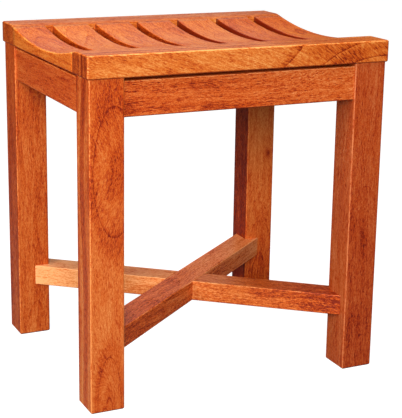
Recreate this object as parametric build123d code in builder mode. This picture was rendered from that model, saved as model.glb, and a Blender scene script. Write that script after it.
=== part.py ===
"""Shower stool: scooped slatted seat on four square legs, braced by a half-lapped X stretcher.

The frame is millimetres, +Z up, with the floor at Z = 0 and the origin midway between the legs.
X runs along the seat's long side, and -Y is the front.
"""
from build123d import *
import math
import os

os.makedirs("parts", exist_ok=True)

# ---------------------------------------------------------------- driving dimensions
SEAT_WIDTH = 414.0          # along X
SEAT_DEPTH = 344.0          # along Y
SEAT_HEIGHT = 450.0         # floor to the flat lands of the seat
SEAT_THICKNESS = 28.5
RAIL_WIDTH = 52.0           # front and back rails of the seat, across Y
LAND_WIDTH = 43.0           # flat strip on each rail, outside the scoop
SCOOP_DEPTH = 15.0
SLAT_COUNT = 7
END_SLAT_WIDTH = 45.0
SLOT_WIDTH = 11.5           # drainage gap between slats

LEG_SIZE = 45.0             # square section
SEAT_OVERHANG = 2.5         # seat edge beyond the legs' outer faces
LEG_FOOT_CHAMFER = 1.8

APRON_HEIGHT = 44.0
APRON_THICKNESS = 22.0
APRON_SETBACK = 2.5         # apron face behind the legs' outer faces
APRON_GAP = 4.0             # shadow gap between an apron and the seat

STRETCHER_TOP = 102.5
STRETCHER_HEIGHT = 28.0
STRETCHER_WIDTH = 38.5

SEAT_ROUND = 2.4            # rounded arrises
LEG_ROUND = 2.0
APRON_ROUND = 2.0
STRETCHER_ROUND = 1.4
SLOT_ROUND = 1.0
LAND_EASE = 30.0            # radius that eases the land into the scoop
CUTTER_SPARE = 5.0          # the scoop's cutter stands out at each side of a slat

TENON_LENGTH = 12.0
TENON_THICKNESS = 9.0
TENON_SHOULDER = 8.0
TENON_RISE = 12.0           # tenon's middle above the seat's underside
GLUE_SPACE = 0.5            # mortises are this much deeper than their tenons
JOINT_ARRIS = 0.4           # chamfer where a slat meets its rail

DOWEL_RADIUS = 4.0
DOWEL_DEPTH = 20.0          # into the leg, and as far into the apron
DOWEL_SPREAD = 24.0         # between the two dowels of a joint

BLOCK_HEIGHT = 40.0
BLOCK_GAP = 4.0             # u + v of the face that stays off the leg
BLOCK_FACE = 36.0           # u + v of the face that carries the nut
BLOCK_REACH = 50.0          # how far the block runs along each apron

BOLT_RADIUS = 3.0           # M6 studs
STUD_DEPTH = 30.0           # wood thread in the leg
STUD_DROP = 21.5            # apron stud below the seat's underside
BOLT_CLEARANCE = 0.4
WASHER_RADIUS = 9.0
WASHER_THICKNESS = 1.6
NUT_ACROSS_FLATS = 10.0
NUT_THICKNESS = 5.0
STUD_PROUD = 3.0            # stud beyond its nut
BARREL_RADIUS = 5.0
BARREL_LENGTH = 20.0
BARREL_SETBACK = 30.0       # barrel nut's axis from the leg's face, along the stretcher
BARREL_BORE = 24.0          # depth of its bore, up from the stretcher's underside
BORE_SPARE = 10.0           # stud's bore beyond its barrel nut
BARREL_SLOT_WIDTH = 1.4
BARREL_SLOT_DEPTH = 1.2

SCREW_RADIUS = 2.0
SCREW_HEAD_RADIUS = 3.9
SCREW_HEAD_HEIGHT = 2.6
SCREW_CROWN_RADIUS = 2.3    # flat top of the head
SCREW_RIM_HEIGHT = 1.3      # straight side of the head
SCREW_TIP = 4.0             # length of the cone
DRIVE_SIZE = 1.6            # hexagon recess, centre to corner
DRIVE_DEPTH = 1.5
HEAD_BORE_RADIUS = 4.6      # counterbores for the heads
HEAD_SINK = 3.0             # depth of the lap screw's counterbore
APRON_SCREW_LENGTH = 30.0
BLOCK_SCREW_DROP = 11.5     # apron screws below the seat's underside
SEAT_SCREW_LENGTH = 44.0
LAP_SCREW_LENGTH = 22.0

# ---------------------------------------------------------------- worked-out places
SEAT_BOTTOM = SEAT_HEIGHT - SEAT_THICKNESS
RAIL_INNER = SEAT_DEPTH / 2 - RAIL_WIDTH                    # |y| of the slat joints
SCOOP_HALF = SEAT_DEPTH / 2 - LAND_WIDTH                    # |y| where the scoop ends
SCOOP_RADIUS = (SCOOP_HALF**2 + SCOOP_DEPTH**2) / (2 * SCOOP_DEPTH)
SCOOP_CENTRE = SEAT_HEIGHT - SCOOP_DEPTH + SCOOP_RADIUS     # z of the scoop's axis
INNER_SLAT_WIDTH = (
    SEAT_WIDTH - 2 * END_SLAT_WIDTH - (SLAT_COUNT - 1) * SLOT_WIDTH
) / (SLAT_COUNT - 2)
TENON_Z = SEAT_BOTTOM + TENON_RISE

LEG_OUT_X = SEAT_WIDTH / 2 - SEAT_OVERHANG
LEG_OUT_Y = SEAT_DEPTH / 2 - SEAT_OVERHANG
LEG_IN_X = LEG_OUT_X - LEG_SIZE
LEG_IN_Y = LEG_OUT_Y - LEG_SIZE

APRON_TOP = SEAT_BOTTOM - APRON_GAP
APRON_Z = APRON_TOP - APRON_HEIGHT / 2
APRON_MID_X = LEG_OUT_X - APRON_SETBACK - APRON_THICKNESS / 2
APRON_MID_Y = LEG_OUT_Y - APRON_SETBACK - APRON_THICKNESS / 2
APRON_IN = LEG_SIZE - APRON_SETBACK - APRON_THICKNESS       # apron face behind the leg's inner face

STUD_Z = SEAT_BOTTOM - STUD_DROP
BLOCK_SCREW_Z = SEAT_BOTTOM - BLOCK_SCREW_DROP
BLOCK_SCREW_ALONG = 38.0                                    # along the apron, from the leg
BLOCK_SCREW_SEAT = 9.0                                      # head's seat, behind the leg's face
SEAT_SCREW_ALONG = 30.0
SEAT_SCREW_ACROSS = -12.0
SEAT_SCREW_BORE = 12.0                                      # counterbore depth in the block

STRETCHER_ANGLE = math.degrees(math.atan2(LEG_OUT_Y, LEG_OUT_X))
STRETCHER_Z = STRETCHER_TOP - STRETCHER_HEIGHT / 2
LEG_FACE_ALONG = LEG_IN_X / math.cos(math.radians(STRETCHER_ANGLE))
BARREL_ALONG = LEG_FACE_ALONG - BARREL_SETBACK              # from the middle of the stool
STUD_BORE_LENGTH = 2 * (BARREL_SETBACK + BORE_SPARE)        # centred on the barrel nut
LAP_SCREW_SEAT = STRETCHER_TOP - STRETCHER_HEIGHT + HEAD_SINK

CORNERS = {
    "front_left": (-1, -1),
    "front_right": (1, -1),
    "back_left": (-1, 1),
    "back_right": (1, 1),
}


def finish(builder, label):
    """Labels a finished piece and writes its STEP file."""
    builder.part.label = label
    export_step(builder.part, f"parts/{label}.step")


def slat_spans():
    """Lowest and highest x of each slat, from left to right."""
    spans = []
    start = -SEAT_WIDTH / 2
    for number in range(SLAT_COUNT):
        is_end = number in (0, SLAT_COUNT - 1)
        width = END_SLAT_WIDTH if is_end else INNER_SLAT_WIDTH
        spans.append((start, start + width))
        start += width + SLOT_WIDTH
    return spans


def near_corner(corner, along_x, along_y, z=0.0):
    """A point measured inwards from a leg's inner corner, towards the middle of the stool."""
    side_x, side_y = corner
    return (side_x * (LEG_IN_X - along_x), side_y * (LEG_IN_Y - along_y), z)


def inward_plane(corner, along_x, along_y, z, direction):
    """A plane whose normal points inwards along (x, y) direction at the given corner."""
    side_x, side_y = corner
    normal = (-side_x * direction[0], -side_y * direction[1], 0)
    return Plane(origin=near_corner(corner, along_x, along_y, z), z_dir=normal)


def block_screw_planes(corner):
    """Screws that hold the block to the aprons. Their heads face inwards."""
    return [
        inward_plane(corner, BLOCK_SCREW_ALONG, -BLOCK_SCREW_SEAT, BLOCK_SCREW_Z, (0, 1)),
        inward_plane(corner, -BLOCK_SCREW_SEAT, BLOCK_SCREW_ALONG, BLOCK_SCREW_Z, (1, 0)),
    ]


def seat_screw_planes(corner):
    """Screws that hold the seat down to the block. Their heads face the floor."""
    z = SEAT_BOTTOM - BLOCK_HEIGHT + SEAT_SCREW_BORE
    places = [(SEAT_SCREW_ALONG, SEAT_SCREW_ACROSS), (SEAT_SCREW_ACROSS, SEAT_SCREW_ALONG)]
    return [Plane(origin=near_corner(corner, a, b, z), z_dir=(0, 0, -1)) for a, b in places]


def stud_plane(corner):
    """The apron stud's plane, on the leg's inner corner with its normal inwards."""
    return inward_plane(corner, 0, 0, STUD_Z, (1, 1))


def stretcher_direction(corner):
    """Unit vector from the stool's middle towards a leg, along its stretcher."""
    angle = math.radians(STRETCHER_ANGLE)
    return Vector(corner[0] * math.cos(angle), corner[1] * math.sin(angle), 0)


def stretcher_plane(corner, along):
    """A plane across the stretcher, with its normal towards the middle of the stool."""
    direction = stretcher_direction(corner)
    return Plane(origin=direction * along + Vector(0, 0, STRETCHER_Z), z_dir=-direction)


def dowel_planes(corner):
    """Two dowels in each of a leg's two inner faces, on planes whose normals point inwards."""
    across = APRON_THICKNESS / 2 + APRON_IN
    heights = (APRON_Z - DOWEL_SPREAD / 2, APRON_Z + DOWEL_SPREAD / 2)
    planes = []
    for z in heights:
        planes.append(inward_plane(corner, 0, -across, z, (1, 0)))
        planes.append(inward_plane(corner, -across, 0, z, (0, 1)))
    return planes


# ---------------------------------------------------------------- seat: front and back rails
def make_seat_rail(side):
    """A rail across the seat's whole width, with its land, its edge of the scoop and its mortises."""
    outer = side * SEAT_DEPTH / 2
    inner = side * RAIL_INNER
    land = side * SCOOP_HALF
    middle = (land + inner) / 2
    scoop_z = {y: SCOOP_CENTRE - math.sqrt(SCOOP_RADIUS**2 - y**2) for y in (middle, inner)}
    with BuildPart() as rail:
        with BuildSketch(Plane.YZ) as profile:
            with BuildLine():
                Polyline(
                    (inner, scoop_z[inner]),
                    (inner, SEAT_BOTTOM),
                    (outer, SEAT_BOTTOM),
                    (outer, SEAT_HEIGHT),
                    (land, SEAT_HEIGHT),
                )
                ThreePointArc((land, SEAT_HEIGHT), (middle, scoop_z[middle]), (inner, scoop_z[inner]))
            make_face()
            land_edge = profile.vertices().sort_by_distance((land, SEAT_HEIGHT, 0))[0]
            fillet(land_edge, LAND_EASE)
        extrude(amount=SEAT_WIDTH / 2, both=True)
        outer_face = rail.faces().sort_by(Axis.Y)[-1 if side > 0 else 0]
        ends = rail.faces().sort_by(Axis.X)
        rounded = outer_face.edges() + ends[0].edges() + ends[-1].edges()
        joint_edges = rounded.filter_by(Axis.Z).filter_by(lambda e: abs(e.center().Y - inner) < 1)
        fillet([edge for edge in rounded if edge not in joint_edges], SEAT_ROUND)
        for low, high in slat_spans():
            depth = TENON_LENGTH + GLUE_SPACE
            with Locations(((low + high) / 2, inner + side * depth / 2, TENON_Z)):
                Box(high - low - 2 * TENON_SHOULDER, depth, TENON_THICKNESS, mode=Mode.SUBTRACT)
        for corner in CORNERS.values():
            if corner[1] == side:
                with Locations(seat_screw_planes(corner)[0]):
                    Hole(SCREW_RADIUS, SEAT_SCREW_LENGTH)
    return rail


finish(make_seat_rail(-1), "seat_front_rail")
finish(make_seat_rail(1), "seat_back_rail")


# ---------------------------------------------------------------- seat: slats
def make_slat(low, high):
    """A slat between the rails, scooped on top, with a stub tenon at each end."""
    middle = (low + high) / 2
    width = high - low
    with BuildPart() as slat:
        with BuildSketch(Plane.XY.offset(SEAT_BOTTOM)):
            with Locations((middle, 0)):
                Rectangle(width, 2 * RAIL_INNER)
        extrude(amount=SEAT_THICKNESS)
        with Locations((middle, 0, SCOOP_CENTRE)):
            Cylinder(SCOOP_RADIUS, width + 2 * CUTTER_SPARE, rotation=(0, 90, 0), mode=Mode.SUBTRACT)
        for x, pick in ((low, 0), (high, -1)):
            side_face = slat.faces().sort_by(Axis.X)[pick]
            long_edges = [edge for edge in side_face.edges() if edge.length > RAIL_INNER]
            on_outside = math.isclose(abs(x), SEAT_WIDTH / 2)
            fillet(long_edges, SEAT_ROUND if on_outside else SLOT_ROUND)
        for side in (-1, 1):
            end_face = slat.faces().sort_by(Axis.Y)[-1 if side > 0 else 0]
            chamfer(end_face.edges(), JOINT_ARRIS)
        with Locations((middle, 0, TENON_Z)):
            Box(width - 2 * TENON_SHOULDER, 2 * (RAIL_INNER + TENON_LENGTH), TENON_THICKNESS)
        if abs(middle) > LEG_IN_X:
            for corner in CORNERS.values():
                if corner[0] * middle > 0:
                    with Locations(seat_screw_planes(corner)[1]):
                        Hole(SCREW_RADIUS, SEAT_SCREW_LENGTH)
    return slat


for number, (low, high) in enumerate(slat_spans(), start=1):
    finish(make_slat(low, high), f"seat_slat_{number}")


# ---------------------------------------------------------------- legs
def make_leg(corner):
    """A square leg with its dowel holes and the pilot holes of its two studs."""
    side_x, side_y = corner
    centre = (side_x * (LEG_OUT_X - LEG_SIZE / 2), side_y * (LEG_OUT_Y - LEG_SIZE / 2))
    with BuildPart() as leg:
        with BuildSketch(Plane.XY):
            with Locations(centre):
                RectangleRounded(LEG_SIZE, LEG_SIZE, LEG_ROUND)
        extrude(amount=SEAT_BOTTOM)
        chamfer(leg.edges().group_by(Axis.Z)[0], LEG_FOOT_CHAMFER)
        with Locations(dowel_planes(corner)):
            Hole(DOWEL_RADIUS, DOWEL_DEPTH)
        with Locations(stud_plane(corner)):
            Hole(BOLT_RADIUS, STUD_DEPTH)
        with Locations(stretcher_plane(corner, BARREL_ALONG)):
            Hole(BOLT_RADIUS, BARREL_SETBACK + STUD_DEPTH)
    return leg


for place, corner in CORNERS.items():
    finish(make_leg(corner), f"leg_{place}")


# ---------------------------------------------------------------- aprons
def make_apron(along_x, side):
    """A rail between two legs, under the seat. along_x tells the long ones from the short ones."""
    length = 2 * (LEG_IN_X if along_x else LEG_IN_Y)
    across = side * (APRON_MID_Y if along_x else APRON_MID_X)
    size = (length, APRON_THICKNESS) if along_x else (APRON_THICKNESS, length)
    with BuildPart() as apron:
        with BuildSketch(Plane.XY.offset(APRON_TOP - APRON_HEIGHT)):
            with Locations((0, across) if along_x else (across, 0)):
                Rectangle(*size)
        extrude(amount=APRON_HEIGHT)
        across_axis = Axis.Y if along_x else Axis.X
        outer_face = apron.faces().sort_by(across_axis)[-1 if side > 0 else 0]
        inner_face = apron.faces().sort_by(across_axis)[0 if side > 0 else -1]
        long_axis = Axis.X if along_x else Axis.Y
        fillet(outer_face.edges().filter_by(long_axis), APRON_ROUND)
        fillet(inner_face.edges().filter_by(long_axis).sort_by(Axis.Z)[0], APRON_ROUND)
        for corner in CORNERS.values():
            if corner[1 if along_x else 0] == side:
                with Locations([-plane for plane in dowel_planes(corner)[0 if along_x else 1::2]]):
                    Hole(DOWEL_RADIUS, DOWEL_DEPTH)
                with Locations(block_screw_planes(corner)[0 if along_x else 1]):
                    Hole(SCREW_RADIUS, APRON_SCREW_LENGTH)
    return apron


finish(make_apron(True, -1), "apron_front")
finish(make_apron(True, 1), "apron_back")
finish(make_apron(False, -1), "apron_left")
finish(make_apron(False, 1), "apron_right")


# ---------------------------------------------------------------- corner blocks
def make_corner_block(corner):
    """A block across the corner behind a leg, screwed to both aprons and up into the seat."""
    near = BLOCK_GAP + APRON_IN
    outline = [
        (-APRON_IN, near),
        (-APRON_IN, BLOCK_REACH),
        (BLOCK_FACE - BLOCK_REACH, BLOCK_REACH),
        (BLOCK_REACH, BLOCK_FACE - BLOCK_REACH),
        (BLOCK_REACH, -APRON_IN),
        (near, -APRON_IN),
    ]
    with BuildPart() as block:
        with BuildSketch(Plane.XY.offset(SEAT_BOTTOM - BLOCK_HEIGHT)):
            with BuildLine():
                Polyline([near_corner(corner, a, b)[:2] for a, b in outline], close=True)
            make_face()
        extrude(amount=BLOCK_HEIGHT)
        with Locations(stud_plane(corner)):
            Cylinder(BOLT_RADIUS + BOLT_CLEARANCE, 4 * BLOCK_FACE, mode=Mode.SUBTRACT)
        for plane in block_screw_planes(corner):
            with Locations(plane):
                Hole(SCREW_RADIUS, APRON_SCREW_LENGTH)
                with Locations((0, 0, BLOCK_REACH / 2)):
                    Cylinder(HEAD_BORE_RADIUS, BLOCK_REACH, mode=Mode.SUBTRACT)
        for plane in seat_screw_planes(corner):
            with Locations(plane):
                Hole(SCREW_RADIUS, SEAT_SCREW_LENGTH)
                with Locations((0, 0, SEAT_SCREW_BORE / 2)):
                    Cylinder(HEAD_BORE_RADIUS, SEAT_SCREW_BORE, mode=Mode.SUBTRACT)
    return block


for place, corner in CORNERS.items():
    finish(make_corner_block(corner), f"corner_block_{place}")


# ---------------------------------------------------------------- stretchers
def make_stretcher(corner, keeps_top):
    """A bar from leg to leg, notched around both inner corners and half-lapped over the other bar."""
    direction = stretcher_direction(corner)
    across = Vector(-direction.Y, direction.X, 0)
    other = stretcher_direction((corner[0], -corner[1]))
    ends = (corner, (-corner[0], -corner[1]))
    underside = STRETCHER_TOP - STRETCHER_HEIGHT
    with BuildPart() as bar:
        with BuildSketch(Plane(origin=(0, 0, STRETCHER_Z), x_dir=across, z_dir=direction)):
            RectangleRounded(STRETCHER_WIDTH, STRETCHER_HEIGHT, STRETCHER_ROUND)
        extrude(amount=SEAT_WIDTH / 2 + STRETCHER_WIDTH, both=True)
        # the bird's mouth: everything beyond the two faces that meet at the leg's inner corner
        for side_x, side_y in ends:
            beyond = (side_x * (LEG_IN_X + LEG_SIZE), side_y * (LEG_IN_Y + LEG_SIZE), STRETCHER_Z)
            with Locations(beyond):
                Box(2 * LEG_SIZE, 2 * LEG_SIZE, 2 * STRETCHER_HEIGHT, mode=Mode.SUBTRACT)
        # the lap: half the height, as wide as the other bar
        lap_z = underside if keeps_top else STRETCHER_TOP
        with BuildSketch(Plane(origin=(0, 0, lap_z), x_dir=other, z_dir=(0, 0, 1))):
            Rectangle(3 * STRETCHER_WIDTH, STRETCHER_WIDTH)
        extrude(amount=STRETCHER_HEIGHT / 2, both=True, mode=Mode.SUBTRACT)
        # the stud's bore along the bar, and the barrel nut's bore up from below
        for end in ends:
            with Locations(stretcher_plane(end, BARREL_ALONG)):
                Cylinder(BOLT_RADIUS + BOLT_CLEARANCE, STUD_BORE_LENGTH, mode=Mode.SUBTRACT)
            barrel_place = stretcher_direction(end) * BARREL_ALONG
            with Locations((barrel_place.X, barrel_place.Y, underside + BARREL_BORE / 2)):
                Cylinder(BARREL_RADIUS, BARREL_BORE, mode=Mode.SUBTRACT)
        with Locations(Plane(origin=(0, 0, underside), z_dir=(0, 0, -1))):
            CounterBoreHole(SCREW_RADIUS, HEAD_BORE_RADIUS, HEAD_SINK, LAP_SCREW_LENGTH + HEAD_SINK)
    return bar


finish(make_stretcher((1, 1), True), "stretcher_upper")
finish(make_stretcher((1, -1), False), "stretcher_lower")


# ---------------------------------------------------------------- dowels
with BuildPart() as dowels:
    for corner in CORNERS.values():
        with Locations(dowel_planes(corner)):
            Cylinder(DOWEL_RADIUS, 2 * DOWEL_DEPTH)
finish(dowels, "apron_dowels")


# ---------------------------------------------------------------- studs, washers and nuts
face_distance = BLOCK_FACE / math.sqrt(2)
stud_length = STUD_DEPTH + face_distance + WASHER_THICKNESS + NUT_THICKNESS + STUD_PROUD
with BuildPart() as leg_studs:
    for corner in CORNERS.values():
        with Locations(stud_plane(corner).offset(stud_length / 2 - STUD_DEPTH)):
            Cylinder(BOLT_RADIUS, stud_length)
finish(leg_studs, "leg_studs")

with BuildPart() as stud_washers:
    for corner in CORNERS.values():
        with BuildSketch(stud_plane(corner).offset(face_distance)):
            Circle(WASHER_RADIUS)
            Circle(BOLT_RADIUS + BOLT_CLEARANCE, mode=Mode.SUBTRACT)
        extrude(amount=WASHER_THICKNESS)
finish(stud_washers, "stud_washers")

with BuildPart() as stud_nuts:
    for corner in CORNERS.values():
        with BuildSketch(stud_plane(corner).offset(face_distance + WASHER_THICKNESS)):
            RegularPolygon(NUT_ACROSS_FLATS / 2, 6, major_radius=False)
            Circle(BOLT_RADIUS, mode=Mode.SUBTRACT)
        extrude(amount=NUT_THICKNESS)
finish(stud_nuts, "stud_nuts")

# ---------------------------------------------------------------- stretcher studs and barrel nuts
stretcher_stud_length = STUD_DEPTH + BARREL_SETBACK + BARREL_RADIUS + STUD_PROUD
with BuildPart() as stretcher_studs:
    for corner in CORNERS.values():
        along = LEG_FACE_ALONG + STUD_DEPTH - stretcher_stud_length / 2
        with Locations(stretcher_plane(corner, along)):
            Cylinder(BOLT_RADIUS, stretcher_stud_length)
finish(stretcher_studs, "stretcher_studs")

with BuildPart() as barrel_nuts:
    for corner in CORNERS.values():
        place = stretcher_direction(corner) * BARREL_ALONG
        with Locations((place.X, place.Y, STRETCHER_Z)):
            Cylinder(BARREL_RADIUS, BARREL_LENGTH)
            with Locations((0, 0, -BARREL_LENGTH / 2)):
                Box(2 * BARREL_RADIUS, BARREL_SLOT_WIDTH, 2 * BARREL_SLOT_DEPTH, mode=Mode.SUBTRACT)
        with Locations(stretcher_plane(corner, BARREL_ALONG)):
            Cylinder(BOLT_RADIUS, 4 * BARREL_RADIUS, mode=Mode.SUBTRACT)
finish(barrel_nuts, "barrel_nuts")


# ---------------------------------------------------------------- wood screws
def make_screw(length):
    """A pan-head screw along Z: the head's seat is at Z = 0, and the point is below it."""
    with BuildPart() as screw:
        with BuildSketch(Plane.XZ):
            with BuildLine():
                Polyline(
                    (0, SCREW_HEAD_HEIGHT),
                    (SCREW_CROWN_RADIUS, SCREW_HEAD_HEIGHT),
                    (SCREW_HEAD_RADIUS, SCREW_RIM_HEIGHT),
                    (SCREW_HEAD_RADIUS, 0),
                    (SCREW_RADIUS, 0),
                    (SCREW_RADIUS, SCREW_TIP - length),
                    (0, -length),
                    close=True,
                )
            make_face()
        revolve(axis=Axis.Z)
        with BuildSketch(Plane.XY.offset(SCREW_HEAD_HEIGHT)):
            RegularPolygon(DRIVE_SIZE, 6)
        extrude(amount=-DRIVE_DEPTH, mode=Mode.SUBTRACT)
    return screw.part


apron_screw = make_screw(APRON_SCREW_LENGTH)
with BuildPart() as block_screws:
    for corner in CORNERS.values():
        with Locations(block_screw_planes(corner)):
            add(apron_screw)
finish(block_screws, "block_screws")

long_screw = make_screw(SEAT_SCREW_LENGTH)
with BuildPart() as seat_screws:
    for corner in CORNERS.values():
        with Locations(seat_screw_planes(corner)):
            add(long_screw)
finish(seat_screws, "seat_screws")

short_screw = make_screw(LAP_SCREW_LENGTH)
with BuildPart() as lap_screw:
    with Locations(Plane(origin=(0, 0, LAP_SCREW_SEAT), z_dir=(0, 0, -1))):
        add(short_screw)
finish(lap_screw, "lap_screw")
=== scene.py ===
# %% [markdown]
# # A shower stool in oiled and stained hardwood
#
# The stool is joined from solid boards: two long rails and seven slats make a saddle seat,
# four square legs stand under its corners, four aprons tie the legs at the top, and two
# stretchers cross near the floor. The boards come from the joiner's model, at their true
# size and place. Only the slats are drawn again here, as smooth surfaces. The rest is the
# finishing shop's work: grain, stain and varnish on every board, and then a floor, lights
# and a camera to show it.

# %% load the boards
import math

import bpy
import numpy as np
from mathutils import Matrix, Vector


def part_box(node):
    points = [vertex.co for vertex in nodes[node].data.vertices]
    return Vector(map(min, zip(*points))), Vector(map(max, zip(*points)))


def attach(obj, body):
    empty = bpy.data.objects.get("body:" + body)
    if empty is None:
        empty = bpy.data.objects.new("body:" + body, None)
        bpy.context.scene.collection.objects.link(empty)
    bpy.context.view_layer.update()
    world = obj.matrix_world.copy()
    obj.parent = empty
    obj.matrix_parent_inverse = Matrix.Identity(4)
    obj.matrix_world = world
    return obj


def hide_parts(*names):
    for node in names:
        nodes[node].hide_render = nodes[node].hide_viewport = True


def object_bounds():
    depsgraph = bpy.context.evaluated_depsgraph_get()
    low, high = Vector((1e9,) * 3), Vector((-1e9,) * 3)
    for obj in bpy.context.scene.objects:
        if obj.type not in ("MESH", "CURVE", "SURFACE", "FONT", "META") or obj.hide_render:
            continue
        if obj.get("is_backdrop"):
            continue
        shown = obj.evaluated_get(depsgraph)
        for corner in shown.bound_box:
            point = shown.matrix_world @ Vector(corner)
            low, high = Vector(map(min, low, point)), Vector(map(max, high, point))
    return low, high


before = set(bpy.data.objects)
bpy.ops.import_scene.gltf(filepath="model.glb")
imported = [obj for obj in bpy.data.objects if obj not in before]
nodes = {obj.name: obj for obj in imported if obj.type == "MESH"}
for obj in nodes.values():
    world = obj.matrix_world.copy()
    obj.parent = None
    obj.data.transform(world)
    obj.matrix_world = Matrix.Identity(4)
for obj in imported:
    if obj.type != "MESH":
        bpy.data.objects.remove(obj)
cad_low, cad_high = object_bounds()
stool_size = cad_high - cad_low
print("boards and fixings:", len(nodes), "size in metres:", [round(s, 3) for s in stool_size])

# %% [markdown]
# ## The scooped slats
#
# Each slat is a flat board whose top is hollowed along a long, shallow arc, so that the seven
# together make a saddle. The joiner's slats have that shape already, but their hollow is cut
# into a few broad facets, which show under low light. A boolean cut would need just as fine a
# cutter, and a sculpted top would not keep all seven in one arc. So the slat is drawn again as
# one surface: a rounded section is carried along the slat, and its top follows the arc. The
# new slats lie exactly where the old ones lay, and end at the rails.

# %% measures taken from the joiner's boards
LAND_WIDTH = 0.043  # the flat strip on each rail
SCOOP_DEPTH = 0.015
OUTSIDE_ROUND = 0.0024  # arris on the outer side of the end slats
SLOT_ROUND = 0.0013  # arris along a slot
JOINT_EASE = 0.0004  # arris where a slat meets a rail
SLAT_COUNT = 7
CORNER_POINTS = 6
STATIONS = 61
FLAT_KEEPERS = np.array([0.05, 0.95])  # extra points near the ends of each flat side

rail_low, rail_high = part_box("seat_front_rail")
seat_top = rail_high.z
joint_reach = -rail_high.y
scoop_half = -rail_low.y - LAND_WIDTH
scoop_radius = (scoop_half**2 + SCOOP_DEPTH**2) / (2 * SCOOP_DEPTH)
print("scoop radius:", round(scoop_radius, 3), "slats reach", round(joint_reach, 4), "from the middle")


# %% the section of a slat
def scoop_height(y):
    """Height of the seat: the bottom of the scoop plus how far a circle has risen at y."""
    return seat_top - SCOOP_DEPTH + scoop_radius - np.sqrt(scoop_radius**2 - y**2)


def slat_section(left, right, under, top, rounds):
    """One rounded oblong for every station along the slat, as arrays of x and z.

    Each corner is a quarter circle. Its centre lies one radius inside both sides, and its
    points are the centre plus the radius times the cosine and sine of an angle that runs
    through a quarter turn. Each flat side is a straight line between two corners, with two
    points near its ends, which keep its shading flat."""
    quarter = np.linspace(0.0, math.pi / 2, CORNER_POINTS)
    corners = (
        (right, top, -1, -1),
        (left, top, 1, -1),
        (left, under, 1, 1),
        (right, under, -1, 1),
    )
    x_parts, z_parts = [], []
    for turn, ((side, level, inward, upward), radius) in enumerate(zip(corners, rounds)):
        angle = quarter + turn * math.pi / 2
        x_parts.append((side + inward * radius)[:, None] + radius * np.cos(angle))
        z_parts.append((level + upward * radius)[:, None] + radius * np.sin(angle))
    x, z = [], []
    for n in range(len(corners)):
        for parts, out in ((x_parts, x), (z_parts, z)):
            end, start = parts[n][:, -1:], parts[(n + 1) % len(corners)][:, :1]
            out += [parts[n], end + (start - end) * FLAT_KEEPERS]
    return np.hstack(x), np.hstack(z)


print("points round a section:", 4 * (CORNER_POINTS + len(FLAT_KEEPERS)))


# %% the slat as a surface
def slat_mesh(name, left, right, under, left_round, right_round):
    """A closed slat. A point of its surface is (x, y, z), where y is a station along the slat
    and x and z are the section there. Neighbours round the section and along the slat make
    a four-sided face, and a flat cap closes each end. The end sections are smaller by the
    ease of the joint."""
    y = np.linspace(-joint_reach, joint_reach, STATIONS)
    y[[1, -2]] = -joint_reach + JOINT_EASE, joint_reach - JOINT_EASE
    ease = np.zeros(STATIONS)
    ease[[0, -1]] = JOINT_EASE
    rounds = (right_round, left_round, left_round, right_round)
    x, z = slat_section(left + ease, right - ease, under + ease, scoop_height(y) - ease, rounds)
    around = x.shape[1]
    points = np.stack([x, np.broadcast_to(y[:, None], x.shape), z], axis=2).reshape(-1, 3)
    row, column = np.meshgrid(np.arange(STATIONS - 1), np.arange(around), indexing="ij")
    here, beside = row * around + column, row * around + (column + 1) % around
    quads = np.stack([here, here + around, beside + around, beside], axis=2).reshape(-1, 4)
    front_cap = list(range(around))
    back_cap = [index + (STATIONS - 1) * around for index in reversed(front_cap)]
    caps = [front_cap, back_cap]
    mesh = bpy.data.meshes.new(name)
    mesh.from_pydata(points.tolist(), [], quads.tolist() + caps)
    mesh.polygons.foreach_set("use_smooth", [True] * len(quads) + [False, False])
    mesh.update()
    return mesh


print("stations along a slat:", STATIONS)

# %% the seven slats
slats = {}
for number in range(1, SLAT_COUNT + 1):
    low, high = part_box(f"seat_slat_{number}")
    left_round = OUTSIDE_ROUND if number == 1 else SLOT_ROUND
    right_round = OUTSIDE_ROUND if number == SLAT_COUNT else SLOT_ROUND
    mesh = slat_mesh(f"scooped_slat_{number}", low.x, high.x, low.z, left_round, right_round)
    slat = bpy.data.objects.new(mesh.name, mesh)
    bpy.context.scene.collection.objects.link(slat)
    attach(slat, "root")
    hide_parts(f"seat_slat_{number}")
    slats[f"seat_slat_{number}"] = slat
print("slats:", len(slats), "with", len(mesh.polygons), "faces each")

# %% [markdown]
# ## Where the camera stands
#
# The stool is seen from above its front left corner through a long lens. A camera could be
# turned with a Track To constraint, but three plain angles say more: how far it is turned to
# the right, how far it is tipped down, and how far it leans. They are multiplied in that
# order, each about the camera's own axis. A small shift slides the picture down without
# tipping the camera, so the legs stay upright.

# %% the camera
CAMERA_PLACE = (-0.6983, -1.5173, 0.6702)
TURNED_RIGHT = 0.4434
TIPPED_DOWN = 0.2507
LEANING = 0.0156
LENS = 107.31
SENSOR_WIDTH = 36.0
PICTURE_SHIFT = -0.0694

camera_data = bpy.data.cameras.new("studio_camera")
camera_data.sensor_width = SENSOR_WIDTH
camera_data.lens = LENS
camera_data.shift_y = PICTURE_SHIFT
camera = bpy.data.objects.new("studio_camera", camera_data)
camera.matrix_world = (
    Matrix.Translation(CAMERA_PLACE)
    @ Matrix.Rotation(-TURNED_RIGHT, 4, "Z")
    @ Matrix.Rotation(math.pi / 2 - TIPPED_DOWN, 4, "X")
    @ Matrix.Rotation(LEANING, 4, "Z")
)
bpy.context.scene.collection.objects.link(camera)
bpy.context.scene.camera = camera
stool_middle = (cad_low + cad_high) / 2
print("camera to stool, metres:", round((Vector(CAMERA_PLACE) - stool_middle).length, 2))

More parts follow.
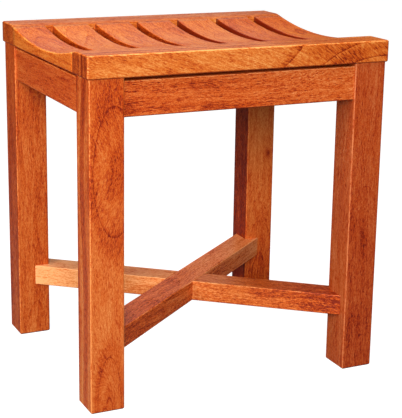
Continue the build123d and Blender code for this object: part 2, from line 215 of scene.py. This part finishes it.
# %% [markdown]
# ## Wiring a material
#
# A wood finish takes well over a hundred nodes, and wiring each by hand hides the idea. Five
# short helpers are enough. One lays a node, sets it and connects it: a value that is a
# socket is linked, and a plain number is typed in. The others do one sum on numbers, one sum
# on directions, one smooth step, and one cloud of soft noise.

# %% helpers for nodes
CLOUD_ROUGHNESS = 0.55


def lay(tree, kind, inputs, **settings):
    """Lays one shader node, sets its settings, and links or fills its inputs."""
    node = tree.nodes.new("ShaderNode" + kind)
    for name, value in settings.items():
        setattr(node, name, value)
    for key, value in inputs.items():
        if isinstance(value, bpy.types.NodeSocket):
            tree.links.new(value, node.inputs[key])
        else:
            node.inputs[key].default_value = value
    return node


def calc(tree, operation, *terms):
    """One sum on numbers that vary over the surface."""
    return lay(tree, "Math", dict(enumerate(terms)), operation=operation).outputs[0]


def steer(tree, operation, *terms):
    """One sum on places or directions."""
    return lay(tree, "VectorMath", dict(enumerate(terms)), operation=operation).outputs[0]


def rise(tree, value, low, high, bottom=0.0, top=1.0):
    """A smooth step: bottom below low, top above high."""
    inputs = {"Value": value, "From Min": low, "From Max": high, "To Min": bottom, "To Max": top}
    return lay(tree, "MapRange", inputs, interpolation_type="SMOOTHSTEP").outputs[0]


def clouds(tree, place, per_metre, detail=1.0, output=0):
    """Soft random values about one half. per_metre says how many clouds a metre holds along
    the board, across its face and through its thickness."""
    stretched = steer(tree, "MULTIPLY", place, per_metre)
    inputs = {"Vector": stretched, "Scale": 1.0, "Detail": detail, "Roughness": CLOUD_ROUGHNESS}
    return lay(tree, "TexNoise", inputs).outputs[output]


print("helpers:", [helper.__name__ for helper in (lay, calc, steer, rise, clouds)])

# %% [markdown]
# ## What makes a board look like a board
#
# A board is a slice of a tree. The rings are long, slightly leaning cones round the pith,
# which lies outside the board, and where the sawn face cuts them they draw straight lines,
# arches or ovals. A Wave texture gives rings that are too even. Here the distance from a
# leaning pith is worked out for each point of the solid wood, and each ring darkens slowly
# and ends at once, as late wood does. Because the pattern is solid, it runs through the
# board and shows end grain on the ends without any unwrapping.
#
# A knot or a crook in the trunk pushes the fibres aside, and the grain flows round it. That
# is one bell-shaped push, which also draws the arches of a flat-sawn face.

# %% the timber group
def new_group(name, inputs, outputs):
    """A node group with float or vector sockets, named in plain words."""
    group = bpy.data.node_groups.new(name, "ShaderNodeTree")
    for in_out, sockets in (("INPUT", inputs), ("OUTPUT", outputs)):
        for label, kind in sockets.items():
            group.interface.new_socket(label, in_out=in_out, socket_type="NodeSocket" + kind)
    return group, group.nodes.new("NodeGroupInput").outputs, group.nodes.new("NodeGroupOutput")


KNOTS = (1, 2, 3)
KNOT_SOCKETS = (("middle", "Vector"), ("reach", "Vector"), ("push", "Float"))
timber, given, wanted = new_group(
    "timber",
    {
        "Place": "Vector", "Facing": "Vector", "Seed": "Float", "Wander": "Float",
        "Slope": "Float", "Pith across": "Float", "Pith deep": "Float", "Lean": "Float",
        **{f"Knot {n} {what}": kind for n in KNOTS for what, kind in KNOT_SOCKETS},
        "Ring width": "Float", "Ring strength": "Float", "Streak strength": "Float",
        "Fleck strength": "Float", "Blotch strength": "Float", "Pore strength": "Float",
        "Slow change": "Vector", "Painted side light and shade": "Vector", "Lightness": "Float",
    },
    {"Tone": "Float", "Pores": "Float", "Rings": "Float"},
)
print("sockets of the timber group:", len(timber.interface.items_tree))

# %% where the grain wanders
SEED_STEP = (7.3, 3.1, 5.9)  # how far apart in the same noise two boards lie
DRIFTS_PER_METRE = (5.0, 9.0, 9.0)
COLOUR_OUTPUT = 1  # three clouds at once, one for each axis

seed_shift = steer(timber, "SCALE", SEED_STEP)
timber.links.new(given["Seed"], seed_shift.node.inputs["Scale"])
seeded = steer(timber, "ADD", given["Place"], seed_shift)
drift = clouds(timber, seeded, DRIFTS_PER_METRE, 1.0, COLOUR_OUTPUT)
drift = steer(timber, "SUBTRACT", drift, (0.5, 0.5, 0.5))
reach = lay(timber, "CombineXYZ", {1: given["Wander"], 2: given["Wander"]}).outputs[0]
drift = steer(timber, "MULTIPLY", drift, reach)
along = lay(timber, "SeparateXYZ", {0: given["Place"]}).outputs[0]
aside = calc(timber, "MULTIPLY", along, given["Slope"])
pushed = calc(timber, "MULTIPLY", along, given["Lean"])
knotty = 0.0
for n in KNOTS:
    away = steer(timber, "SUBTRACT", given["Place"], given[f"Knot {n} middle"])
    away = steer(timber, "DIVIDE", away, given[f"Knot {n} reach"])
    away = lay(timber, "VectorMath", {0: away, 1: away}, operation="DOT_PRODUCT").outputs["Value"]
    bell = calc(timber, "EXPONENT", calc(timber, "MULTIPLY", away, -1.0))
    push = calc(timber, "MULTIPLY", bell, given[f"Knot {n} push"])
    aside = calc(timber, "ADD", aside, push)
    pushed = calc(timber, "ADD", pushed, push)
    knotty = calc(timber, "ADD", knotty, calc(timber, "ABSOLUTE", push))
drift = steer(timber, "ADD", drift, lay(timber, "CombineXYZ", {1: aside}).outputs[0])
fibre = steer(timber, "ADD", seeded, drift)
print("knots that may push the grain aside:", len(KNOTS))

# %% the rings
RIPPLES_PER_METRE = (20.0, 45.0, 45.0)
RIPPLE_HEIGHT = 0.0012
LATE_WOOD_POWER = 5.0  # how late in the year a ring darkens
LINE_START, LINE_FULL, LINE_SHARE = 0.93, 0.975, 0.5  # the thin line that ends a ring
YEAR_END = 0.985
SEED_RINGS = 17.0
LEAST_RING, CHANCE_RING = 0.3, 0.7
BANDS_PER_METRE = 75.0

axes = lay(timber, "SeparateXYZ", {0: given["Place"]}).outputs
wobble = lay(timber, "SeparateXYZ", {0: drift}).outputs[2]
across = calc(timber, "SUBTRACT", axes[1], given["Pith across"])
deep = calc(timber, "SUBTRACT", axes[2], given["Pith deep"])
deep = calc(timber, "ADD", calc(timber, "ADD", deep, wobble), pushed)
flat = lay(timber, "CombineXYZ", {1: across, 2: deep}).outputs[0]
radius = lay(timber, "VectorMath", {0: flat}, operation="LENGTH").outputs["Value"]
ripple = calc(timber, "SUBTRACT", clouds(timber, seeded, RIPPLES_PER_METRE, 2.0), 0.5)
radius = calc(timber, "ADD", radius, calc(timber, "MULTIPLY", ripple, RIPPLE_HEIGHT))
ring_count = calc(timber, "DIVIDE", radius, given["Ring width"])
within_ring = calc(timber, "FRACT", ring_count)
ring_line = calc(timber, "MULTIPLY", rise(timber, within_ring, LINE_START, LINE_FULL), LINE_SHARE)
late_wood = calc(timber, "ADD", calc(timber, "POWER", within_ring, LATE_WOOD_POWER), ring_line)
late_wood = calc(timber, "MULTIPLY", late_wood, rise(timber, within_ring, YEAR_END, 1.0, 1.0, 0.0))
ring_number = calc(timber, "FLOOR", ring_count)
seed_rings = calc(timber, "MULTIPLY", given["Seed"], SEED_RINGS)
ring_number = calc(timber, "ADD", ring_number, seed_rings)
luck = lay(timber, "TexWhiteNoise", {"W": ring_number}, noise_dimensions="1D").outputs["Value"]
strength = calc(timber, "ADD", LEAST_RING, calc(timber, "MULTIPLY", luck, CHANCE_RING))
rings = calc(timber, "MULTIPLY", late_wood, strength)
band_place = calc(timber, "ADD", calc(timber, "MULTIPLY", radius, BANDS_PER_METRE), given["Seed"])
band_noise = {"W": band_place, "Scale": 1.0, "Detail": 1.0}
bands = lay(timber, "TexNoise", band_noise, noise_dimensions="1D").outputs[0]
print("nodes up to the rings:", len(timber.nodes))

# %% [markdown]
# ## Streaks, flecks, blotches and pores
#
# Between the rings the wood is busy. Long streaks come from the fibre bundles, short flecks
# from the way neighbouring fibres catch the stain, blotches from uneven sapwood, and the
# pores are short dark dashes. Each is soft noise, stretched along the grain and then pushed
# apart into light and dark, because plain noise is too timid at this scale.

# %% the fine figure
# How many of each fit in a metre: along the board, across its face, through its thickness.
STREAKS_PER_METRE = (5.0, 130.0, 130.0)
FINE_STREAKS_PER_METRE = (30.0, 420.0, 420.0)
FLECKS_PER_METRE = (240.0, 800.0, 800.0)
SPECKS_PER_METRE = (650.0, 900.0, 900.0)
BLOTCHES_PER_METRE = (11.0, 22.0, 22.0)
PORES_PER_METRE = (120.0, 780.0, 780.0)
CROWDS_PER_METRE = (14.0, 55.0, 55.0)
PORE_START, PORE_FULL = 0.54, 0.63


def parted(tree, place, per_metre, detail, low=0.36, high=0.64):
    """Clouds pushed apart into dark and light, from minus a half to a half."""
    return rise(tree, clouds(tree, place, per_metre, detail), low, high, -0.5, 0.5)


streaks = parted(timber, fibre, STREAKS_PER_METRE, 3.0)
fine_streaks = parted(timber, fibre, FINE_STREAKS_PER_METRE, 2.0)
flecks = parted(timber, fibre, FLECKS_PER_METRE, 3.0)
specks = parted(timber, seeded, SPECKS_PER_METRE, 2.0)
blotches = parted(timber, seeded, BLOTCHES_PER_METRE, 2.0, 0.25, 0.75)
pore_cloud = clouds(timber, fibre, PORES_PER_METRE, 1.0)
crowding = rise(timber, clouds(timber, fibre, CROWDS_PER_METRE, 2.0), 0.35, 0.65, -0.05, 0.05)
pores = rise(timber, calc(timber, "ADD", pore_cloud, crowding), PORE_START, PORE_FULL)
print("nodes up to the pores:", len(timber.nodes))

# %% [markdown]
# ## One tone for every point
#
# All of these meet in one number, the tone. A half is the board's middle colour, less is
# darker and more is paler. Each part is weighed by the board's own setting and by a share that
# holds for all boards. Rings, pores, knots and end grain take more stain, so they darken. A
# slow change lets a board grow darker from one end to the other; on two legs it is a painted
# reflection of the floor and painted light. The face change paints light and shade on some
# sides of a board.

# %% everything added up into one tone
END_GRAIN_DARKNESS = 0.2
KNOT_DARKNESS = 6.5  # for each metre that the knot pushes the grain

facing_board = lay(timber, "SeparateXYZ", {0: given["Facing"]}).outputs
end_grain = calc(timber, "ABSOLUTE", facing_board[0])


def swing(vector, change):
    """How much a change adds here: the dot product of two vectors."""
    product = lay(timber, "VectorMath", {0: vector, 1: change}, operation="DOT_PRODUCT")
    return product.outputs["Value"]


tone = calc(timber, "ADD", 0.5, given["Lightness"])
tone = calc(timber, "ADD", tone, swing(given["Place"], given["Slow change"]))
# painted light and shade on the sides that face the minus way along the board's axes
near_side = steer(timber, "MINIMUM", given["Facing"], (0.0, 0.0, 0.0))
tone = calc(timber, "ADD", tone, swing(near_side, given["Painted side light and shade"]))
for part, strength, share in (
    (streaks, given["Streak strength"], 0.6),
    (fine_streaks, given["Streak strength"], 0.8),
    (flecks, given["Fleck strength"], 0.9),
    (specks, given["Fleck strength"], 0.7),
    (blotches, given["Blotch strength"], 1.0),
    (calc(timber, "SUBTRACT", bands, 0.5), given["Ring strength"], 1.0),
    (rings, given["Ring strength"], -0.8),
    (pores, given["Pore strength"], -1.0),
    (end_grain, END_GRAIN_DARKNESS, -1.0),
    (knotty, 1.0, -KNOT_DARKNESS),
):
    weighed = calc(timber, "MULTIPLY", calc(timber, "MULTIPLY", part, share), strength)
    tone = calc(timber, "ADD", tone, weighed)
timber.links.new(tone, wanted.inputs["Tone"])
timber.links.new(pores, wanted.inputs["Pores"])
timber.links.new(rings, wanted.inputs["Rings"])
print("timber group:", len(timber.nodes), "nodes")

# %% [markdown]
# ## Rubbed arrises, with painted highlight and painted shade
#
# Stain comes off the rounded edges when a stool is sanded between coats, so an arris is
# paler than the faces it joins. That paleness also stands for the highlight that lamps lay
# along a rounded edge, so it is partly wear and partly painted highlight. Edges that face the
# floor are made darker instead, which is painted shade. A Pointiness value would need a dense
# mesh. The surface direction is enough: on a flat face it lies along one of the board's three
# axes, and on a rounded edge it lies along none.

# %% the arris group
ROUND_START, ROUND_FULL = 0.05, 0.15  # how far the surface has turned off the nearest axis
# edges that face the floor get painted shade, edges that face sideways or up get wear and painted
# highlight
DOWNWARD, SIDEWAYS = -0.4, -0.1  # between these an edge changes from dark to rubbed

arris, facing_in, facing_out = new_group(
    "arris", {"Facing": "Vector", "Upright": "Vector"}, {"Arris": "Float"}
)
facing = steer(arris, "ABSOLUTE", steer(arris, "NORMALIZE", facing_in["Facing"]))
facing = lay(arris, "SeparateXYZ", {0: facing}).outputs
most = calc(arris, "MAXIMUM", facing[0], calc(arris, "MAXIMUM", facing[1], facing[2]))
edge_of_board = rise(arris, calc(arris, "SUBTRACT", 1.0, most), ROUND_START, ROUND_FULL)
upward = lay(arris, "SeparateXYZ", {0: facing_in["Upright"]}).outputs[2]
dark_or_pale = rise(arris, upward, DOWNWARD, SIDEWAYS, -1.0, 1.0)
# the edge tone: wear and painted highlight above zero, painted shade below zero
wear_and_painted_edge_light = calc(arris, "MULTIPLY", edge_of_board, dark_or_pale)
arris.links.new(wear_and_painted_edge_light, facing_out.inputs["Arris"])
print("arris group:", len(arris.nodes), "nodes")

# %% [markdown]
# ## Stain and varnish
#
# One recipe serves every board. Tone runs through a colour ramp made from the board's own
# colour: its dark end is redder, its light end is more golden, as a stain takes less in the
# dense wood. Satin varnish is a thin clear coat, the same all over, so it is set on the
# shader itself. Pores stay slightly open under it, which roughens and dents the surface.

# %% the shades of a board
SHADES = {
    0.0: (0.30, 0.09, 0.04),
    0.25: (0.74, 0.44, 0.24),
    0.5: (1.0, 1.0, 1.0),
    0.75: (1.16, 1.75, 3.2),
    1.0: (1.32, 2.7, 7.0),
}


def shade_ramp(tree, value, colour):
    """A colour ramp from the board's dark late wood to its pale early wood."""
    ramp = lay(tree, "ValToRGB", {0: value})
    stops = ramp.color_ramp.elements
    while len(stops) < len(SHADES):
        stops.new(0.5)
    for stop, (position, share) in zip(stops, SHADES.items()):
        stop.position = position
        stop.color = [min(c * s, 1.0) for c, s in zip(colour, share)] + [1.0]
    return ramp.outputs[0]


print("shades from dark to pale:", len(SHADES))

# %% a stained board
# how far an edge moves in tone: wear with painted highlight on upper edges, painted shade on edges
# that face the floor
EDGE_WEAR_AND_PAINTED_LIGHT = 0.55
VARNISH_ROUGHNESS, PORE_ROUGHNESS = 0.4, 0.2
DENT_STRENGTH, DENT_DEPTH = 0.35, 0.0004
VARNISH = {"Specular IOR Level": 0.2, "Coat Weight": 0.08, "Coat Roughness": 0.22}
NO_KNOT = ((0.0, 0.0, 0.0), (0.05, 0.03, 0.05), 0.0)


def stained_wood(name, colour, middle, turned, seed, figure):
    """A stained and varnished board: colour is its middle tone, middle and turned say where
    the board lies and how its length is turned from X, figure holds the timber settings."""
    material = bpy.data.materials.new(name)
    material.use_nodes = True
    tree = material.node_tree
    shader = tree.nodes["Principled BSDF"]
    where = tree.nodes.new("ShaderNodeTexCoord").outputs
    to_board = {"Vector": where["Object"], "Location": middle, "Rotation": turned}
    place = lay(tree, "Mapping", to_board, vector_type="TEXTURE").outputs[0]
    turn_only = {"Vector": where["Normal"], "Rotation": turned}
    facing = lay(tree, "Mapping", turn_only, vector_type="TEXTURE").outputs[0]
    wood = lay(tree, "Group", {}, node_tree=timber)
    tree.links.new(place, wood.inputs["Place"])
    tree.links.new(facing, wood.inputs["Facing"])
    wood.inputs["Seed"].default_value = seed
    for label, value in figure.items():
        if label != "Knots":
            wood.inputs[label].default_value = value
    knots = figure["Knots"] + [NO_KNOT] * (len(KNOTS) - len(figure["Knots"]))
    for n, knot in zip(KNOTS, knots):
        for (what, _), value in zip(KNOT_SOCKETS, knot):
            wood.inputs[f"Knot {n} {what}"].default_value = value
    edge = lay(tree, "Group", {}, node_tree=arris)
    tree.links.new(facing, edge.inputs["Facing"])
    tree.links.new(where["Normal"], edge.inputs["Upright"])
    # the edge tone: wear and painted highlight on upper edges, painted shade on edges that face the
    # floor
    patchy = rise(tree, wood.outputs["Tone"], 0.25, 0.65, 0.35, 1.0)
    edge_wear_and_painted_light = calc(tree, "MULTIPLY", calc(tree, "MULTIPLY", edge.outputs[0], patchy), EDGE_WEAR_AND_PAINTED_LIGHT)
    tone = calc(tree, "ADD", wood.outputs["Tone"], edge_wear_and_painted_light)
    tree.links.new(shade_ramp(tree, tone, colour), shader.inputs["Base Color"])
    open_pores = calc(tree, "MULTIPLY", wood.outputs["Pores"], PORE_ROUGHNESS)
    roughness = calc(tree, "ADD", VARNISH_ROUGHNESS, open_pores)
    tree.links.new(roughness, shader.inputs["Roughness"])
    depth = calc(tree, "ADD", wood.outputs["Pores"], wood.outputs["Rings"])
    height = calc(tree, "MULTIPLY", depth, -1.0)
    bump = {"Height": height, "Strength": DENT_STRENGTH, "Distance": DENT_DEPTH}
    tree.links.new(lay(tree, "Bump", bump).outputs[0], shader.inputs["Normal"])
    for label, value in VARNISH.items():
        shader.inputs[label].default_value = value
    return material


print("varnish:", VARNISH)


# %% a finish on a board
def finish_with(node, material):
    """Puts a finish on every slot of a CAD node."""
    for index in range(len(nodes[node].data.materials)):
        nodes[node].material_slots[index].link = "OBJECT"
        nodes[node].material_slots[index].material = material


print("boards and fixings to finish:", len(nodes))

# %% [markdown]
# ## Which way each board runs
#
# Grain follows a board's length. Each board gets its own middle, its own turn and its own
# seed, so that no two boards share a figure. A few get a knot or a slope, placed where the
# stool shows arches or slanting grain. "Face change" holds only for the sides that face back
# along the board's own axes: the left and front of a leg, or the left wall of a slat. It is
# painted light and shade: a plus value paints shade on such a side and a minus value paints
# light on it. On the slats it is painted shade inside the slots.

# %% which way the grain runs
QUARTER = math.pi / 2
ALONG_X = (QUARTER, 0.0, 0.0)
ALONG_Y = (QUARTER, 0.0, QUARTER)
ALONG_Z = (-QUARTER, -QUARTER, 0.0)
SLAT_WAY = (0.0, 0.0, -QUARTER)
far_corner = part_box("leg_back_right")[1]
stretcher_turn = math.atan2(far_corner.y, far_corner.x)
UP_RIGHT = (0.0, 0.0, stretcher_turn)
DOWN_RIGHT = (0.0, 0.0, -stretcher_turn)
print("stretchers turned by", round(math.degrees(stretcher_turn), 1), "degrees")

# %% a plain board, and the colours
PLAIN = {
    "Wander": 0.03, "Slope": 0.0, "Pith across": 0.0, "Pith deep": -0.09, "Lean": 0.03,
    "Knots": [], "Ring width": 0.006, "Ring strength": 0.22, "Streak strength": 0.22,
    "Fleck strength": 0.3, "Blotch strength": 0.2, "Pore strength": 0.2,
    "Slow change": (0.0, 0.0, 0.0), "Painted side light and shade": (0.0, 0.0, 0.0), "Lightness": 0.0,
}

RAIL = (0.62, 0.141, 0.017)
SLAT = (0.66, 0.128, 0.010)
LEG = (0.54, 0.080, 0.007)
APRON = (0.58, 0.084, 0.008)
BLOCK = (0.50, 0.10, 0.02)
print("settings of a plain board:", len(PLAIN))

# %% the board list
boards = [
    ("seat_front_rail", RAIL, ALONG_X, {
        "Slope": 0.3, "Slow change": (0.45, 0.0, 0.0), "Lean": 0.0, "Wander": 0.005,
        "Ring width": 0.011, "Ring strength": 0.85, "Pith deep": -0.0891,
        "Streak strength": 0.18, "Fleck strength": 0.26, "Lightness": 0.05,
        "Knots": [((0.2, -0.05, 0.026), (0.11, 0.066, 0.04), 0.044)],
    }),
    ("seat_back_rail", RAIL, ALONG_X, {}),
    ("apron_front", (0.60, 0.106, 0.014), ALONG_X, {
        "Pore strength": 0.28, "Slow change": (0.4, 2.6, 0.0), "Lean": 0.0, "Fleck strength": 0.34,
        "Knots": [((0.0, 0.03, 0.0), (0.12, 0.06, 0.2), 0.012)],
    }),
    ("apron_back", APRON, ALONG_X, {}),
    # the side setting here paints light on this apron's left side
    ("apron_left", APRON, ALONG_Y, {"Fleck strength": 0.34, "Painted side light and shade": (0.0, 0.0, -0.06)}),
    ("apron_right", APRON, ALONG_Y, {}),
    ("leg_front_left", (0.56, 0.094, 0.010), ALONG_Z, {
        "Lean": 0.0, "Wander": 0.009, "Pith across": 0.009, "Pith deep": -0.1028,
        "Ring width": 0.018, "Ring strength": 0.75, "Streak strength": 0.1, "Lightness": 0.14,
        # paler towards the foot: a painted reflection of the pale floor; the left side darker: painted
        # shade
        "Slow change": (-0.25, 0.0, 0.0), "Painted side light and shade": (0.0, 0.1, 0.0),
        "Knots": [
            ((-0.216, 0.001, -0.0225), (0.07, 0.016, 0.1), -0.03),
            ((0.095, 0.013, -0.0225), (0.08, 0.04, 0.1), -0.026),
        ],
    }),
    # the side setting here paints light on this leg's left side
    ("leg_front_right", (0.44, 0.062, 0.008), ALONG_Z, {"Painted side light and shade": (0.0, -0.14, 0.0)}),
    # the side setting here paints shade on this leg's left side and light on its front
    ("leg_back_left", (0.54, 0.088, 0.009), ALONG_Z, {"Painted side light and shade": (0.0, 0.12, -0.08)}),
    ("leg_back_right", LEG, ALONG_Z, {
        # paler towards the top: painted light; the side setting paints shade on the left side and
        # light on the front
        "Slow change": (0.9, 0.0, 0.0),
        "Painted side light and shade": (0.0, 0.3, -0.22),
        "Knots": [((0.026, 0.013, -0.0225), (0.006, 0.0035, 0.05), 0.1)],
    }),
    ("stretcher_upper", (0.78, 0.155, 0.024), UP_RIGHT, {"Slow change": (1.0, 0.0, 0.0)}),
    ("stretcher_lower", (0.70, 0.150, 0.022), DOWN_RIGHT, {
        "Slow change": (-2.0, 0.0, 0.0), "Lightness": 0.14,
    }),
]
SLAT_LIGHTNESS = (0.03, 0.08, 0.02, 0.02, 0.06, 0.0, 0.0)
# painted shade on each slat's left wall, which shows in the slot beside it; none on the first slat
PAINTED_SLOT_SHADE = (0.0, 0.4, 0.4, 0.45, 1.0, 1.0, 1.0)  # how dark each slat's left wall is
boards += [
    (f"seat_slat_{n}", SLAT, SLAT_WAY, {
        "Pore strength": 0.1, "Lightness": lightness, "Painted side light and shade": (0.0, shade, 0.0),
    })
    for n, (lightness, shade) in enumerate(zip(SLAT_LIGHTNESS, PAINTED_SLOT_SHADE), start=1)
]
boards += [
    (f"corner_block_{depth}_{side}", BLOCK, ALONG_Z, {})
    for depth in ("front", "back")
    for side in ("left", "right")
]
print("boards with settings of their own:", sum(bool(changes) for *_, changes in boards))

# %% every board gets its finish
for seed, (node, colour, turned, changes) in enumerate(boards, start=1):
    low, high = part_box(node)
    figure = {**PLAIN, **changes}
    finish = stained_wood(node + "_finish", colour, (low + high) / 2, turned, seed, figure)
    if node in slats:
        slats[node].data.materials.append(finish)
    else:
        finish_with(node, finish)
print("boards finished:", len(boards))

# %% [markdown]
# ## Dowels and fixings
#
# The dowels are pale, unstained beech, and the metal is bare stainless steel with a fine
# turned grain. They hardly show, and they still get a finish of their own.

# %% dowels and stainless
LATHE_LINES_PER_METRE = (900.0, 900.0, 4000.0)
PATCHES_PER_METRE = (90.0, 90.0, 90.0)
DULL_STEEL = (0.42, 0.42, 0.41, 1.0)
BRIGHT_STEEL = (0.66, 0.66, 0.65, 1.0)
BEECH = (0.62, 0.42, 0.24)
BEECH_SEED = 40
STEEL_FIXINGS = (
    "leg_studs", "stud_washers", "stud_nuts", "stretcher_studs",
    "barrel_nuts", "block_screws", "seat_screws", "lap_screw",
)


def turned_steel(name):
    """Bare stainless steel with fine lines from the lathe and a few duller patches."""
    material = bpy.data.materials.new(name)
    material.use_nodes = True
    tree = material.node_tree
    shader = tree.nodes["Principled BSDF"]
    place = tree.nodes.new("ShaderNodeTexCoord").outputs["Object"]
    lines = clouds(tree, place, LATHE_LINES_PER_METRE, 2.0)
    patches = clouds(tree, place, PATCHES_PER_METRE, 3.0)
    grey = lay(tree, "ValToRGB", {0: patches})
    grey.color_ramp.elements[0].color = DULL_STEEL
    grey.color_ramp.elements[1].color = BRIGHT_STEEL
    tree.links.new(grey.outputs[0], shader.inputs["Base Color"])
    roughness = calc(tree, "ADD", 0.2, calc(tree, "MULTIPLY", lines, 0.25))
    tree.links.new(roughness, shader.inputs["Roughness"])
    bump = lay(tree, "Bump", {"Height": lines, "Strength": 0.2, "Distance": 0.0001})
    tree.links.new(bump.outputs[0], shader.inputs["Normal"])
    shader.inputs["Metallic"].default_value = 1.0
    return material


faint_rings = {**PLAIN, "Ring strength": 0.1}
beech = stained_wood("beech", BEECH, (0.0, 0.0, 0.0), ALONG_X, BEECH_SEED, faint_rings)
finish_with("apron_dowels", beech)
steel = turned_steel("turned_stainless")
for node in STEEL_FIXINGS:
    finish_with(node, steel)
print("kinds of steel fixings:", len(STEEL_FIXINGS))

# %% [markdown]
# ## Floor and light
#
# The stool stands on a plain white floor that glows a little itself, as a light table does,
# which keeps its shadow faint. An ordinary floor would need far stronger lamps to look as
# white, and they would bleach the wood. Four soft lamps do the rest. The strongest stands
# behind the camera and lights the front, the next lights the left sides, one hangs over the
# seat, and a faint one behind draws the far edges. The room itself adds almost nothing.

# %% the floor
FLOOR_HALF = 12.0
PAPER_GREY = (0.22, 0.22, 0.22, 1.0)
SQUARE = ((-1, -1), (1, -1), (1, 1), (-1, 1))

floor_mesh = bpy.data.meshes.new("studio_floor")
floor_corners = [(x * FLOOR_HALF, y * FLOOR_HALF, cad_low.z) for x, y in SQUARE]
floor_mesh.from_pydata(floor_corners, [], [(0, 1, 2, 3)])
floor = bpy.data.objects.new("studio_floor", floor_mesh)
bpy.context.scene.collection.objects.link(floor)
floor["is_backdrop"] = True
paper = bpy.data.materials.new("white_paper")
paper.use_nodes = True
sheet = paper.node_tree
lit = lay(sheet, "BsdfDiffuse", {"Color": PAPER_GREY}).outputs[0]
glow = lay(sheet, "Emission", {"Strength": 1.0}).outputs[0]
seen_paper = lay(sheet, "AddShader", {0: lit, 1: glow}).outputs[0]
ray = sheet.nodes.new("ShaderNodeLightPath").outputs["Is Camera Ray"]
both = lay(sheet, "MixShader", {0: ray, 1: lit, 2: seen_paper}).outputs[0]
sheet.links.new(both, sheet.nodes["Material Output"].inputs["Surface"])
floor_mesh.materials.append(paper)
print("floor, metres across:", 2 * FLOOR_HALF)


# %% the lamps
def soft_lamp(name, place, size, watts):
    """A square soft lamp at a place, turned towards the middle of the stool."""
    data = bpy.data.lights.new(name, "AREA")
    data.shape = "SQUARE"
    data.size = size
    data.energy = watts
    lamp = bpy.data.objects.new(name, data)
    aim = (stool_middle - place).to_track_quat("-Z", "Y")
    lamp.matrix_world = Matrix.Translation(place) @ aim.to_matrix().to_4x4()
    lamp.visible_camera = False
    bpy.context.scene.collection.objects.link(lamp)


def towards(degrees_left, degrees_up, distance):
    """A place so many degrees left of the stool's front and up from its middle."""
    left, up = math.radians(degrees_left), math.radians(degrees_up)
    flat = distance * math.cos(up)
    offset = (-flat * math.sin(left), -flat * math.cos(left), distance * math.sin(up))
    return stool_middle + Vector(offset)


LAMPS = (  # name, degrees left, degrees up, metres away, size, watts
    ("left_lamp", 75, 28, 2.2, 1.0, 29.0),
    ("front_lamp", 25, 21, 2.6, 1.0, 60.0),
    ("top_lamp", 20, 76, 1.9, 0.9, 24.0),
    ("back_lamp", -165, 28, 2.4, 1.4, 4.0),
)
for name, degrees_left, degrees_up, distance, size, watts in LAMPS:
    soft_lamp(name, towards(degrees_left, degrees_up, distance), size, watts)
print("lamps:", len(LAMPS), "with", sum(lamp[-1] for lamp in LAMPS), "watts")

# %% the room
DIM = (0.02, 0.02, 0.02, 1.0)
WHITE = (1.0, 1.0, 1.0, 1.0)

world = bpy.data.worlds.new("studio_room")
world.use_nodes = True
room = world.node_tree
ray = room.nodes.new("ShaderNodeLightPath").outputs["Is Camera Ray"]
seen = lay(room, "MixRGB", {0: ray, 1: DIM, 2: WHITE})
room.links.new(seen.outputs[0], room.nodes["Background"].inputs["Color"])
bpy.context.scene.world = world
bpy.context.scene.view_settings.view_transform = "Standard"
bpy.context.scene.view_settings.look = "None"
print("room light:", DIM[0], "and seen by the camera as", WHITE[0])

# %% [markdown]
# ## Last measures
#
# The finishes add no thickness and the new slats keep their places, so the stool still fills
# the joiner's box exactly. Both sizes are printed.

# %% sizes
low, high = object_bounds()
print("visual size:", [round(s, 4) for s in high - low])
